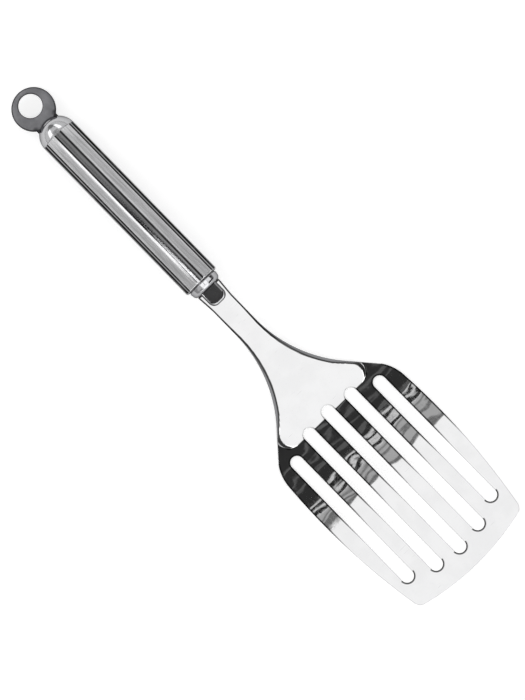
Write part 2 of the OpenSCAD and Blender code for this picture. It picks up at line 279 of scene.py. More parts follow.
class SheetForm:
    """Side view and outline of the pressed sheet, in millimetres along the handle's axis."""

    def __init__(self):
        scene = bpy.context.scene
        h, s = Millimetres(scene.spatula_handle), Millimetres(scene.spatula_head)
        self.handle, self.head, self.shade_and_waves = h, s, Millimetres(scene.spatula_wear)
        self.lay_out_side(h, s)
        self.lay_out_outline(s)
        self.find_resting_place(h, s)

    def lay_out_side(self, h, s):
        """Side view: level tang, bend at the collar, sloping neck, heel and rising blade."""
        self.face_x = h.tube_l + h.collar_l
        self.tang_end_x = self.face_x - h.tang_l
        self.tip_x = self.face_x + s.head_l
        self.bend_r = s.neck_bend_r + s.sheet_t
        bend_run = self.bend_r * math.tan(s.neck_slope / 2)
        self.bend_x = self.face_x + bend_run
        self.heel_x = self.face_x + s.neck_l
        self.heel_z = -(self.heel_x - self.bend_x) * math.tan(s.neck_slope)
        self.blade_x = self.heel_x + s.heel_r * math.tan(s.neck_slope / 2)
        self.blade_r = (self.tip_x - self.blade_x) / math.sin(s.blade_rise)
        self.bend_c = (self.bend_x - bend_run, -self.bend_r)
        self.heel_c = (self.blade_x, self.heel_z + s.heel_r)
        self.blade_c = (self.blade_x, self.heel_z + self.blade_r)

    def lay_out_outline(self, s):
        """Middles of the outline's arcs: flare, shoulder, side, corner and end."""
        self.flare_c = Vector((self.face_x + s.flare_start, s.neck_w / 2 + s.flare_r))
        self.flare_out = Vector((-math.sin(s.flare_angle), math.cos(s.flare_angle)))
        self.flare_end = self.flare_c - s.flare_r * self.flare_out
        rise = s.shoulder_r * (math.cos(s.side_angle) - math.cos(s.flare_angle))
        rise += s.side_r * (1 - math.cos(s.side_angle))
        straight = (s.blade_w / 2 - self.flare_end.y - rise) / math.sin(s.flare_angle)
        along = Vector((math.cos(s.flare_angle), math.sin(s.flare_angle)))
        straight_end = self.flare_end + straight * along
        self.shoulder_c = straight_end - s.shoulder_r * self.flare_out
        side_x = self.shoulder_c.x - s.shoulder_r * math.sin(s.side_angle)
        self.side_c = Vector((side_x + s.side_r * math.sin(s.side_angle), s.blade_w / 2 - s.side_r))
        self.end_c = Vector((self.tip_x - s.end_r, 0))
        self.corner_c = inner_touch(
            self.end_c, s.end_r - s.corner_r, self.side_c, s.side_r - s.corner_r
        )

    def find_resting_place(self, h, s):
        """Tilt and place at which the dome and the heel lie on the table."""
        heel_c = Vector(self.heel_c)
        tube_r = h.tube_d / 2
        self.tilt = math.asin((s.heel_r + s.sheet_t - tube_r) / heel_c.length)
        self.tilt -= math.atan2(heel_c.y, heel_c.x)
        tip_z = self.height(np.array([self.tip_x]), s.sheet_t)[0]
        eye_end = h.eye_reach + h.eye_d / 2
        back = -eye_end * math.cos(self.tilt) - h.eye_t / 2 * math.sin(self.tilt)
        front = self.tip_x * math.cos(self.tilt) - tip_z * math.sin(self.tilt)
        self.resting_place = (
            Matrix.Translation((-(back + front) / 2 * MM, 0, tube_r * MM))
            @ Matrix.Rotation(-self.tilt, 4, "Y")
            @ Matrix.Scale(MM, 4)
        )

    def world_x(self, x):
        """Where a place along the upper face lies along the table, in metres."""
        top = self.height(np.array([float(x)]), 0)[0]
        return (self.resting_place @ Vector((x, 0, top))).x

    def outline(self):
        """The head and its tang from above, as one closed outline."""
        s, quarter = self.head, math.pi / 2
        side_to_corner = heading(self.side_c, self.corner_c)
        corner_to_end = heading(self.end_c, self.corner_c)
        half_tang = self.handle.tang_w / 2
        row = [Vector((self.tang_end_x, half_tang)), Vector((self.face_x, half_tang))]
        row += [Vector((self.face_x, s.neck_root_w / 2))]
        row += [Vector((self.face_x + s.neck_root_l, s.neck_w / 2))]
        row += arc(self.flare_c, s.flare_r, -quarter, s.flare_angle - quarter)
        row += arc(self.shoulder_c, s.shoulder_r, quarter + s.flare_angle, quarter + s.side_angle)
        row += arc(self.side_c, s.side_r, quarter + s.side_angle, side_to_corner, first=1)
        row += arc(self.corner_c, s.corner_r, side_to_corner, corner_to_end, first=1)
        row += arc(self.end_c, s.end_r, corner_to_end, 0, first=1)
        return row + [Vector((p.x, -p.y)) for p in reversed(row[:-1])]

    def slot_outlines(self):
        """Each slot from above."""
        s = self.head
        r, quarter = s.slot_w / 2, math.pi / 2
        outlines = []
        for i in range(s.slots):
            y = (i - (s.slots - 1) / 2) * s.slot_pitch
            sag = s.slot_curve_r - math.sqrt(s.slot_curve_r**2 - y * y)
            start = Vector((self.heel_x - s.slot_lead + sag + r, y))
            end = Vector((self.tip_x - s.slot_margin - sag - r, y))
            outlines.append(
                arc(start, r, quarter, 3 * quarter, error=0.004)
                + arc(end, r, -quarter, quarter, error=0.004)
            )
        return outlines

    def slot_tip(self, y):
        """Where the slot nearest to a place across the blade ends."""
        s = self.head
        outermost = (s.slots - 1) / 2 * s.slot_pitch
        middle = np.clip(np.round(y / s.slot_pitch) * s.slot_pitch, -outermost, outermost)
        sag = s.slot_curve_r - np.sqrt(s.slot_curve_r**2 - middle**2)
        return self.tip_x - s.slot_margin - sag

    def height(self, x, depth):
        """Height of the sheet at a depth below its upper face, before its edges are folded."""
        s = self.head
        slope = s.neck_slope
        bend, heel, blade = self.bend_r - depth, s.heel_r + depth, self.blade_r + depth
        bend_end = self.bend_c[0] + bend * math.sin(slope)
        bend_low = self.bend_c[1] + bend * math.cos(slope)
        heel_start = self.heel_c[0] - heel * math.sin(slope)

        def below(centre, radius):
            return centre[1] - np.sqrt(radius**2 - (x - centre[0]) ** 2)

        with np.errstate(invalid="ignore"):
            over_bend = self.bend_c[1] + np.sqrt(bend**2 - (x - self.bend_c[0]) ** 2)
            return np.select(
                [x < self.bend_c[0], x < bend_end, x < heel_start, x < self.heel_c[0]],
                [
                    np.full_like(x, -depth),
                    over_bend,
                    bend_low - (x - bend_end) * math.tan(slope),
                    below(self.heel_c, heel),
                ],
                below(self.blade_c, blade),
            )

    def fold_width(self, x):
        """Width of the folded edge along the neck."""
        s = self.head
        grown = smooth_step(x, self.face_x + s.neck_root_l, self.flare_end.x - s.neck_root_l)
        closing = smooth_step(x, self.flare_end.x - s.panel_corner_r, self.panel_end_x())
        width = s.fold_root + (s.fold_w - s.fold_root) * grown
        return width + (s.fold_corner_w - s.fold_w) * closing

    def panel_end_x(self):
        """Where the panel's side turns into its corner."""
        s = self.head
        return self.heel_x + s.panel_past - s.panel_corner_r * (1 + math.sin(s.flare_angle))

    def beyond_panel(self, x, y, edge):
        """How far a point lies outside the flat panel of the neck, and the fold's radius there."""
        s = self.head
        y = np.abs(y)
        width = self.fold_width(x)
        at_shoulder = smooth_step(x, self.flare_end.x, self.heel_x - s.panel_corner_r)
        bend = np.minimum(width, s.fold_r)
        radius = bend + (s.fold_corner_r - bend) * at_shoulder
        r = s.panel_corner_r
        centre_x = self.heel_x - r + s.panel_past
        line_y = self.flare_end.y + (centre_x - self.flare_end.x) * math.tan(s.flare_angle)
        centre_y = line_y - (r + s.fold_corner_w) / math.cos(s.flare_angle)
        dx, dy = x - centre_x, y - centre_y
        around = np.arctan2(dy, dx)
        on_corner = (around >= 0) & (around <= math.pi / 2 + s.flare_angle) & (dx > -r)
        past_side = np.maximum(width - edge, -r)
        past_heel = np.where(dx > 0, dx - r, -r)
        past = np.where(on_corner, np.hypot(dx, dy) - r, np.maximum(past_side, past_heel))
        return past, radius

    def fold_drop(self, past, radius):
        """How far the fold has turned down at a distance outside the panel."""
        steep = math.sin(self.head.fold_slope)
        within = np.clip(past / radius, 0, steep)
        drop = radius * (1 - np.sqrt(1 - within**2))
        return drop + np.maximum(past - steep * radius, 0) * math.tan(self.head.fold_slope)

    def edge_drop(self, edge):
        """How far the rounded edge of the sheet has turned down."""
        r = self.head.edge_r
        within = np.clip((r - edge) / r, 0, 1)
        return r * (1 - np.sqrt(1 - within**2))

    def upper_face(self, x, y, edge, outer):
        """Height of the finished upper face."""
        base = self.height(x, 0)
        step = np.where(x < self.blade_x, base - self.heel_z, 0)
        past, radius = self.beyond_panel(x, y, np.where(outer > 0.5, edge, FAR))
        folded = self.on_neck(x) & (past > 0)
        drop = np.where(folded, soft_least(self.fold_drop(past, radius), step), 0)
        return base - drop - self.edge_drop(edge)

    def lower_face(self, x, y, edge, outer):
        """Height of the finished lower face, with the rim's lower edge."""
        s = self.head
        base = self.height(x, s.sheet_t)
        step = np.where(x < self.blade_x, self.height(x, 0) - self.heel_z, 0)
        rise = (x - self.face_x - s.rim_start) / s.rim_rise_l
        fade = (self.heel_x - x) / s.rim_fade_l
        rim = s.rim_depth * np.clip(np.minimum(rise, fade), 0, 1)
        past, radius = self.beyond_panel(x, y, np.where(outer > 0.5, edge, FAR))
        inside = soft_least(np.maximum(past, 0) ** 2 / (2 * radius), step)
        in_rim = (outer > 0.5) & (edge < s.sheet_t) & (x > self.face_x)
        low = np.where(in_rim, np.maximum(np.minimum(rim, step), inside), inside)
        low = np.where(self.on_neck(x), low, 0)
        table = -(self.handle.tube_d / 2 + x * math.sin(self.tilt)) / math.cos(self.tilt)
        return np.maximum(base - low + self.edge_drop(edge), table)

    def on_neck(self, x):
        """Whether a place lies clear of the collar and before the blade."""
        clear = 1
        return (x > self.face_x + clear) & (x < self.blade_x)

    def fold_shade(self, x, past, radius):
        """How much of a place is folded edge, which ends at the shoulder."""
        bent = smooth_step(past, 0.1 * radius, 0.5 * radius) * (x > self.face_x)
        return bent * (1 - smooth_step(x, self.flare_end.x, self.heel_x - self.head.edge_r))

    def crease_shade(self, x, past):
        """How dark the painted shade inside a fold is."""
        w, soft, heel_soft = self.shade_and_waves, 0.5, 1.5
        at_corner = smooth_step(x, self.panel_end_x() - 1, self.panel_end_x() + 2)
        width = w.crease_w + (w.crease_corner_w - w.crease_w) * at_corner
        crease = smooth_step(past, 0, 0.12)
        crease = crease * (1 - smooth_step(past, width, width + soft + 0.2 * at_corner))
        crease = crease * (x > self.face_x)
        return crease * (1 - smooth_step(x, self.heel_x - heel_soft, self.heel_x))

    def edge_shade(self, x, y, edge, outer):
        """How dark the painted shade and painted dark reflection along the sheet's edges are: most
        beside the heel and at the slots' tips.
        """
        w, heel_soft, behind_heel, faint_shade = self.shade_and_waves, 1.5, 0.35, 0.4
        heavy_shade = 1 - smooth_step(x - self.heel_x, w.heavy_shade_l, w.heavy_shade_l + w.heavy_shade_fade_l)
        at_heel = smooth_step(x - self.heel_x, -heel_soft, heel_soft)
        heavy_shade = heavy_shade * (behind_heel + (1 - behind_heel) * at_heel)
        heavy_shade = np.maximum(heavy_shade, (outer < 0.5) & (x > self.slot_tip(y) - w.tip_zone_l))
        heavy_shade = np.where((outer > 0.5) & (x < self.heel_x), 0, heavy_shade)
        width = w.edge_w + (w.heavy_shade_w - w.edge_w) * heavy_shade
        return (1 - smooth_step(edge, width / 2, width)) * (faint_shade + (1 - faint_shade) * heavy_shade)


# Modelling steps that the pieces share


def clear_selection():
    """Leaves edit mode and selects nothing."""
    if bpy.context.object and bpy.context.object.mode != "OBJECT":
        bpy.ops.object.mode_set(mode="OBJECT")
    bpy.ops.object.select_all(action="DESELECT")


def pick(*objects):
    """Selects these objects, the first as the active one."""
    clear_selection()
    for piece in objects:
        piece.select_set(True)
    bpy.context.view_layer.objects.active = objects[0]


def ring_of(points, name):
    """A ring of edges with its points moved on to an outline, which may be flat."""
    clear_selection()
    bpy.ops.mesh.primitive_circle_add(vertices=len(points), radius=1, fill_type="NOTHING")
    ring = bpy.context.object
    ring.name = name
    for vertex, point in zip(ring.data.vertices, points):
        vertex.co = Vector(point).to_3d()
    return ring


def note(piece, name, values):
    """Notes a value on every point of a piece."""
    layer = piece.data.attributes.new(name, "FLOAT", "POINT")
    layer.data.foreach_set("value", values)


def edit(piece):
    """Goes into edit mode on the whole of a piece."""
    pick(piece)
    bpy.ops.object.mode_set(mode="EDIT")
    bpy.ops.mesh.select_all(action="SELECT")


def close_up():
    """Turns every face outwards, and leaves edit mode."""
    bpy.ops.mesh.select_all(action="SELECT")
    bpy.ops.mesh.normals_make_consistent(inside=False)
    bpy.ops.object.mode_set(mode="OBJECT")


def draw_out(height):
    """Draws a flat mesh out into a solid, and leaves edit mode."""
    bpy.ops.mesh.select_all(action="SELECT")
    bpy.ops.mesh.extrude_region_move(TRANSFORM_OT_translate={"value": (0, 0, height)})
    close_up()


def select_where(piece, kind, test):
    """In edit mode, selects the vertices, edges or faces that pass a test."""
    bpy.ops.mesh.select_mode(type={"verts": "VERT", "edges": "EDGE", "faces": "FACE"}[kind])
    bpy.ops.mesh.select_all(action="DESELECT")
    net = bmesh.from_edit_mesh(piece.data)
    for part in getattr(net, kind):
        if test(part):
            part.select_set(True)
    net.select_flush_mode()
    bmesh.update_edit_mesh(piece.data)


def slice_across(places, normal):
    """In edit mode, cuts all that isn't hidden at each place along an axis."""
    for place in places:
        bpy.ops.mesh.select_all(action="SELECT")
        bpy.ops.mesh.bisect(
            plane_co=[place * n for n in normal], plane_no=normal, threshold=1e-6
        )


def finish_piece(piece, form, node, angle=35):
    """Puts a piece in its resting place, smooths it and lets it stand for its node."""
    pick(piece)
    piece.matrix_world = form.resting_place
    bpy.ops.object.transform_apply(location=True, rotation=True, scale=True)
    bpy.ops.object.shade_smooth_by_angle(angle=math.radians(angle), keep_sharp_edges=False)
    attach(piece, BODY)
    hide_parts(node)


def spun(outline, name, steps):
    """Turns a line of (along, radius) points about the handle's axis."""
    piece = ring_of([(along, 0, radius) for along, radius in outline], name)
    edit(piece)
    bpy.ops.mesh.spin(
        steps=steps, angle=2 * math.pi, center=(0, 0, 0), axis=(1, 0, 0), use_auto_merge=True
    )
    bpy.ops.mesh.select_all(action="SELECT")
    bpy.ops.mesh.remove_doubles(threshold=1e-5)
    close_up()
    return piece


# Pieces

# Rings inside the sheet's edges and slots, as distances from the edge in millimetres
EDGE_RINGS = (0.0, 0.015, 0.05, 0.1, 0.2, 0.35, 0.5)
FOLD_RINGS = (0.7, 0.9, 1.1, 1.3, 1.5, 1.7, 1.9, 2.1, 2.3, 2.6)
# Cuts across the sheet, in millimetres: where they start and how far past that, where they end
# and how far past that, and their step
CROSS_CUTS = (
    ("face_x", 0.2, "bend_x", 1, 0.2),
    ("bend_x", 2, "heel_x", -24, 3),
    ("heel_x", -22, "heel_x", -2, 1),
    ("heel_x", -1.6, "blade_x", 0.4, 0.2),
    ("blade_x", 1, "tip_x", 0, 1.5),
)
# Cuts along the sheet: how far the first lies from the blade's side, and their step
SIDE_START, SIDE_STEP = 1.3, 1.825
# Fine cuts at the panel's corners: how far behind and past the heel they reach, between which
# distances from the middle they lie, and their step
CORNER_BEHIND, CORNER_PAST, CORNER_SIDES, CORNER_STEP = 11, 0.6, (17, 34), 0.3


class SPATULA_OT_blade(bpy.types.Operator):
    """Presses the sheet: tang, neck with folded rims, heel and slotted blade"""

    bl_idname = "spatula.blade"
    bl_label = "Blade"

    def execute(self, context):
        form = SheetForm()
        blade = ring_of(form.outline(), "pressed_sheet")
        for name, value in ((EDGE_DISTANCE, FAR), (OUTER_EDGE, 1.0)):
            note(blade, name, [value] * len(blade.data.vertices))
        slots = [ring_of(points, "slot_ring") for points in form.slot_outlines()]
        pick(blade, *slots)
        bpy.ops.object.join()
        edit(blade)
        bpy.ops.mesh.fill(use_beauty=True)
        self.inset_rings(blade)
        self.cut_grid(blade, form)
        draw_out(-form.head.sheet_t)
        self.press(blade, form)
        finish_piece(blade, form, "blade", angle=40)
        blade.data.materials.append(sheet_steel(form, context.scene.spatula_colours))
        return {"FINISHED"}

    def inset_rings(self, blade):
        """Insets rings along every edge, close together at first."""
        rings = EDGE_RINGS + FOLD_RINGS
        bpy.ops.mesh.select_mode(type="FACE")
        bpy.ops.mesh.select_all(action="SELECT")
        self.note_distance(blade, 0.0)
        for near, far in zip(rings, rings[1:]):
            bpy.ops.mesh.inset(thickness=far - near, use_even_offset=True)
            self.note_distance(blade, far)

    def note_distance(self, blade, distance):
        """Notes on the rim of the selected faces how far it lies from the sheet's edge."""
        net = bmesh.from_edit_mesh(blade.data)
        edge_distance = net.verts.layers.float[EDGE_DISTANCE]
        for edge in net.edges:
            inside = [f for f in edge.link_faces if f.select]
            if len(inside) == 1:
                for vertex in edge.verts:
                    vertex[edge_distance] = distance
        bmesh.update_edit_mesh(blade.data)

    def cut_grid(self, blade, form):
        """Cuts the flat sheet crosswise and lengthwise, closely where it will bend."""
        for start, past_start, end, past_end, step in CROSS_CUTS:
            low, high = getattr(form, start) + past_start, getattr(form, end) + past_end
            slice_across(np.arange(low, high, step), (1, 0, 0))
        half = form.head.blade_w / 2
        slice_across(np.arange(-half + SIDE_START, half, SIDE_STEP), (0, 1, 0))
        self.drop_diagonals(blade)
        self.refine_corners(blade, form)

    def drop_diagonals(self, blade):
        """Dissolves the slanting edges that filling left between the rings and the grid."""
        last_ring = FOLD_RINGS[-1] - SLIVER
        net = bmesh.from_edit_mesh(blade.data)
        edge_distance = net.verts.layers.float[EDGE_DISTANCE]

        def slants(edge):
            run = edge.verts[0].co - edge.verts[1].co
            if min(abs(run.x), abs(run.y)) < SLIVER:
                return False
            corners = [v for face in edge.link_faces for v in face.verts]
            return all(v[edge_distance] > last_ring for v in corners)

        select_where(blade, "edges", slants)
        bpy.ops.mesh.dissolve_edges(use_verts=False, use_face_split=False)

    def refine_corners(self, blade, form):
        """Cuts the sheet finely where the folds meet round the panel's corners."""
        low_x, high_x = form.heel_x - CORNER_BEHIND, form.heel_x + CORNER_PAST
        low_y, high_y = CORNER_SIDES

        def in_corner(face):
            middle = face.calc_center_median()
            return low_x < middle.x < high_x and low_y < abs(middle.y) < high_y

        select_where(blade, "faces", in_corner)
        bpy.ops.mesh.hide(unselected=True)
        slice_across(np.arange(low_x + CORNER_STEP, high_x, CORNER_STEP), (1, 0, 0))
        sides = np.arange(low_y + CORNER_STEP, high_y, CORNER_STEP)
        slice_across(np.concatenate([sides, -sides]), (0, 1, 0))
        bpy.ops.mesh.reveal(select=False)

    def press(self, blade, form):
        """Moves every point of the flat sheet on to the pressed form, and notes its shades."""
        mesh = blade.data
        count = len(mesh.vertices)
        co = np.empty(count * 3)
        mesh.vertices.foreach_get("co", co)
        co = co.reshape(-1, 3)
        edge, outer = np.empty(count), np.empty(count)
        mesh.attributes[EDGE_DISTANCE].data.foreach_get("value", edge)
        mesh.attributes[OUTER_EDGE].data.foreach_get("value", outer)
        x, y = co[:, 0], co[:, 1]
        upper = co[:, 2] > -form.head.sheet_t / 2
        co[:, 2] = np.where(
            upper, form.upper_face(x, y, edge, outer), form.lower_face(x, y, edge, outer)
        )
        mesh.vertices.foreach_set("co", co.ravel())
        past, radius = form.beyond_panel(x, y, np.where(outer > 0.5, edge, FAR))
        shades = {
            "fold": form.fold_shade(x, past, radius),
            "crease": form.crease_shade(x, past),
            "cut_edge": form.edge_shade(x, y, edge, outer),
        }
        for name, values in shades.items():
            note(blade, name, values.astype(np.float32))
        mesh.update()


# How far the flat of the nose is inset, as a share of its edge's rounding
FLAT_PAST_BEVEL = 1.3


class SPATULA_OT_tang_bar(bpy.types.Operator):
    """Forms the bar on the sheet's tang, whose nose shows in front of the collar"""

    bl_idname = "spatula.tang_bar"
    bl_label = "Tang bar"

    def execute(self, context):
        form = SheetForm()
        h = form.handle
        nose_x = form.face_x + h.nose_l
        half, r = h.tang_w / 2, h.nose_corner_r
        corner = Vector((nose_x - r, half - r))
        row = [Vector((form.tang_end_x, half))] + arc(corner, r, math.pi / 2, 0, error=0.004)
        bar = ring_of(row + [Vector((p.x, -p.y)) for p in reversed(row)], "tang_nose")
        edit(bar)
        bpy.ops.mesh.edge_face_add()
        bpy.ops.mesh.inset(thickness=h.nose_edge_r * FLAT_PAST_BEVEL)
        slice_across((form.bend_x,), (1, 0, 0))
        draw_out(h.tang_bar_t)
        for vertex in bar.data.vertices:
            if vertex.co.z < h.tang_bar_t / 2:
                past_bend = max(0.0, vertex.co.x - form.bend_x)
                vertex.co.z = -past_bend * math.tan(form.head.neck_slope)
        rounded(bar, h.nose_edge_r, segments=3)
        # Painted shade: all of the nose but its top and the start of its rounded edge is painted
        # dark
        below_top = [(h.tang_bar_t - v.co.z) / h.nose_edge_r for v in bar.data.vertices]
        note(bar, "seam", smooth_step(below_top, 0, 0.2).astype(np.float32))
        finish_piece(bar, form, "tang_bar")
        colour = tuple(context.scene.spatula_colours.nose)
        finish = polished_steel("nose_steel", colour, 0.02, 0.05)
        # Painted shade on the nose's sides
        finish.stain("seam", darker(colour, 0.1))
        bar.data.materials.append(finish.material)
        return {"FINISHED"}


def rounded(piece, width, segments, angle=30):
    """Rounds the sharp edges of a piece."""
    pick(piece)
    bevel = piece.modifiers.new("edges", "BEVEL")
    bevel.width = width
    bevel.segments = segments
    bevel.limit_method = "ANGLE"
    bevel.angle_limit = math.radians(angle)
    bpy.ops.object.modifier_apply(modifier=bevel.name)


class SPATULA_OT_collar(bpy.types.Operator):
    """Turns the collar and its groove"""

    bl_idname = "spatula.collar"
    bl_label = "Front collar"

    def execute(self, context):
        form = SheetForm()
        h = form.handle
        r, groove_r = h.collar_d / 2, h.collar_d / 2 - h.groove_depth
        hidden_r = h.tube_d / 2 - h.tube_wall - FIT_GAP
        spigot_l, behind_l = 3, 0.3
        start, behind, back = h.tube_l - spigot_l, h.tube_l - behind_l, h.tube_l + h.groove_w
        front = h.tube_l + h.collar_l
        line = [(start, 0.0), (start, hidden_r), (behind, hidden_r)]
        line += [(behind, groove_r), (back, groove_r)]
        back_c = Vector((back + h.collar_back_r, r - h.collar_back_r))
        flat = h.collar_l - h.groove_w - h.collar_back_r - h.collar_front_r
        front_r = r - flat * math.tan(h.collar_taper)
        front_c = Vector((front - h.collar_front_r, front_r - h.collar_front_r))
        upright = math.pi / 2 - h.collar_taper
        line += arc(back_c, h.collar_back_r, math.pi, upright, error=0.001)
        fall, support = Vector((1, -math.tan(h.collar_taper))), 0.03
        line += [line[-1] + support * fall, line[-1] + (flat - support) * fall]
        line += arc(front_c, h.collar_front_r, upright, 0, error=0.001)
        line += [(front, 0.0)]
        collar = spun(line, "collar", steps=144)
        # Painted shade: the groove behind the collar is painted darker
        in_groove = [float(v.co.x < back + SLIVER) for v in collar.data.vertices]
        note(collar, "groove", in_groove)
        finish_piece(collar, form, "front_collar")
        colour = tuple(context.scene.spatula_colours.collar)
        finish = polished_steel("collar_steel", colour, 0.06, 0.11)
        # Painted shade in the groove
        finish.stain("groove", darker(colour, 0.4))
        collar.data.materials.append(finish.material)
        return {"FINISHED"}


# Degrees from the seam to each ring of the dome, close together where the flutes run out
DOME_RINGS = (1.2, 2, 3, 4.5, 6, 8, 10, 12, 14, 16, 18, 20, *range(23, 90, 3))
# How close points lie that count as one, in millimetres
MERGED = 1e-4


class HandleForm:
    """The fluted surface that the tube and the dome share, in millimetres."""

    def __init__(self, form):
        self.h, self.shade_and_waves = form.handle, form.shade_and_waves
        self.r = self.h.tube_d / 2
        self.floor = self.r - self.h.flute_depth
        self.step = 2 * math.pi / self.h.flutes

    def angles(self):
        """Angles round the handle, close together at the flutes' edges."""
        h = self.h
        lip = math.asin(h.flute_w / 2 / self.r)
        fine = h.flute_lip / self.r
        near = [lip + fine * k / 6 for k in range(-6, 7)]
        floor = [near[0] * k / 4 for k in range(4)]
        last = near[-1]
        land = [last + (self.step / 2 - last) * k / 9 for k in range(1, 10)]
        half = floor + near + land
        whole = [-a for a in reversed(half[1:-1])] + half
        return [i * self.step + a for i in range(h.flutes) for a in whole]

    def sunk(self, across, height):
        """Height of the surface over one flute, in that flute's own directions."""
        half, lip = self.h.flute_w / 2, self.h.flute_lip / 2
        in_flute = 1 - smooth_step(abs(across), half - lip, half + lip)
        floor = self.floor - self.h.flute_crown * min(1.0, (across / half) ** 2)
        return height - in_flute * max(0.0, height - floor)

    def lip(self, across, width):
        """1 on a flute's lip and 0 away from it."""
        off = abs(abs(across) - self.h.flute_w / 2)
        return 1 - smooth_step(off, width * 0.8, width * 1.5)

    def lip_shade_width(self, turn_to, point, across):
        """Width of the painted shade on a flute's lip; on the top flute's near lip it narrows to
        almost nothing towards the front.
        """
        if abs(turn_to) > SLIVER:
            return self.shade_and_waves.side_lip_shade_w
        if across > 0:
            return self.shade_and_waves.far_lip_shade_w
        thinning, near_front = 0.98, smooth_step(point.x / self.h.tube_l, 0.5, 0.85)
        return self.shade_and_waves.near_lip_shade_w * (1 - thinning * near_front)

    def fluted(self, point):
        """Moves a point of the round handle down into the nearest flute."""
        turn_to = round(math.atan2(point.y, point.z) / self.step) * self.step
        sin, cos = math.sin(turn_to), math.cos(turn_to)
        across, height = point.y * cos - point.z * sin, point.y * sin + point.z * cos
        sunk = self.sunk(across, height)
        place = Vector((point.x, across * cos + sunk * sin, sunk * cos - across * sin))
        on_lip = self.lip(across, self.lip_shade_width(turn_to, point, across))
        on_lip *= min(1.0, (height - self.floor) / self.h.flute_depth * 2)
        return place, height - sunk, max(0.0, on_lip)


def round_rings(handle, sections, name):
    """A net of rings round the handle's axis, one for each (along, radius)."""
    along, radius = sections[0]
    points = [(along, radius * math.sin(a), radius * math.cos(a)) for a in handle.angles()]
    piece = ring_of(points, name)
    edit(piece)
    for (x, r), (next_x, next_r) in zip(sections, sections[1:]):
        bpy.ops.mesh.extrude_edges_move(TRANSFORM_OT_translate={"value": (next_x - x, 0, 0)})
        scale = next_r / r
        bpy.ops.transform.resize(value=(1, scale, scale), center_override=(next_x, 0, 0))
    bpy.ops.object.mode_set(mode="OBJECT")
    return piece


def sink_flutes(piece, handle):
    """Sinks the flutes into a round piece, and notes each point's depth and its share of lip."""
    depths, lips = [], []
    for vertex in piece.data.vertices:
        sunk = on_lip = 0.0
        if vertex.co.yz.length > handle.floor / 2:
            vertex.co, sunk, on_lip = handle.fluted(vertex.co)
        depths.append(min(1.0, sunk / handle.h.flute_depth * 2))
        lips.append(on_lip)
    note(piece, "flute", depths)
    note(piece, "flute_lip", lips)
    piece.data.update()


class SPATULA_OT_handle_tube(bpy.types.Operator):
    """Draws the hollow handle with its lengthwise flutes"""

    bl_idname = "spatula.handle_tube"
    bl_label = "Handle tube"

    def execute(self, context):
        form = SheetForm()
        handle = HandleForm(form)
        h = form.handle
        r, bore, seam, edge = handle.r, handle.r - h.tube_wall, h.seam_r, h.tube_edge_r
        back_c, front_c = Vector((seam, r - seam)), Vector((h.tube_l - edge, r - edge))
        sections = [(0.0, bore), *arc(back_c, seam, math.pi, math.pi / 2, error=0.001)]
        sections += [(h.tube_l * k / 12, r) for k in range(1, 11)]
        sections += arc(front_c, edge, math.pi / 2, 0, error=0.002)
        sections += [(h.tube_l, bore), (0.0, bore)]
        tube = round_rings(handle, sections, "fluted_tube")
        sink_flutes(tube, handle)
        edit(tube)
        bpy.ops.mesh.remove_doubles(threshold=MERGED)
        close_up()
        finish_piece(tube, form, "handle_tube", angle=50)
        tube.data.materials.append(tube_steel(form, context.scene.spatula_colours))
        return {"FINISHED"}


class SPATULA_OT_end_dome(bpy.types.Operator):
    """Spins the domed cap, into which the flutes run out"""

    bl_idname = "spatula.end_dome"
    bl_label = "End dome"

    def execute(self, context):
        form = SheetForm()
        handle = HandleForm(form)
        h = form.handle
        r, seam = handle.r, h.seam_r
        skirt_l, inner_r = 3.0, r - h.tube_wall - FIT_GAP
        sections = [(skirt_l, inner_r), (0.0, inner_r), (0.0, r - seam)]
        sections += [(-seam * 0.3, r - seam * 0.3)]
        turns = [math.radians(a) for a in DOME_RINGS]
        sections += [(-r * math.sin(a), r * math.cos(a)) for a in turns]
        dome = round_rings(handle, sections, "domed_cap")
        edit(dome)
        last_x = min(v.co.x for v in bmesh.from_edit_mesh(dome.data).verts)
        select_where(dome, "verts", lambda v: v.co.x < last_x + MERGED)
        bpy.ops.mesh.merge(type="CENTER")
        select_where(dome, "verts", lambda v: v.co.x < last_x + MERGED)
        bpy.ops.transform.translate(value=(-r - last_x, 0, 0))
        close_up()
        sink_flutes(dome, handle)
        finish_piece(dome, form, "end_dome", angle=50)
        colour = tuple(context.scene.spatula_colours.dome)
        dome.data.materials.append(polished_steel("dome_steel", colour, 0.1, 0.16).material)
        return {"FINISHED"}


class SPATULA_OT_hanging_eye(bpy.types.Operator):
    """Stamps the eye with its hole and stem"""

    bl_idname = "spatula.hanging_eye"
    bl_label = "Hanging eye"

    def execute(self, context):
        form = SheetForm()
        h = form.handle
        r, half = h.eye_d / 2, h.stem_w / 2
        centre = Vector((-h.eye_reach, 0))
        meets = math.asin(half / r)
        disc = arc(centre, r, meets, 2 * math.pi - meets, error=0.003)
        end = -h.tube_d / 2 + h.stem_depth
        outline = disc + [Vector((end, -half)), Vector((end, half))]
        eye = ring_of(outline, "hanging_disc")
        hole_c = Vector((-h.eye_reach - h.eye_hole_shift, 0))
        circle = arc(hole_c, h.eye_hole_d / 2, 0, 2 * math.pi, first=1, error=0.002)
        hole = ring_of(circle, "hole_ring")
        pick(eye, hole)
        bpy.ops.object.join()
        edit(eye)
        bpy.ops.mesh.fill(use_beauty=True)
        bpy.ops.mesh.select_all(action="SELECT")
        bpy.ops.transform.translate(value=(0, 0, -h.eye_t / 2))
        draw_out(h.eye_t)
        rounded(eye, h.eye_edge_r, segments=4, angle=60)
        finish_piece(eye, form, "hanging_eye", angle=30)
        eye.data.materials.append(disc_steel(form, context.scene.spatula_colours))
        return {"FINISHED"}


# Finishes

# Tint of bare steel at a grazing angle
GRAZING = (0.3, 0.3, 0.3)


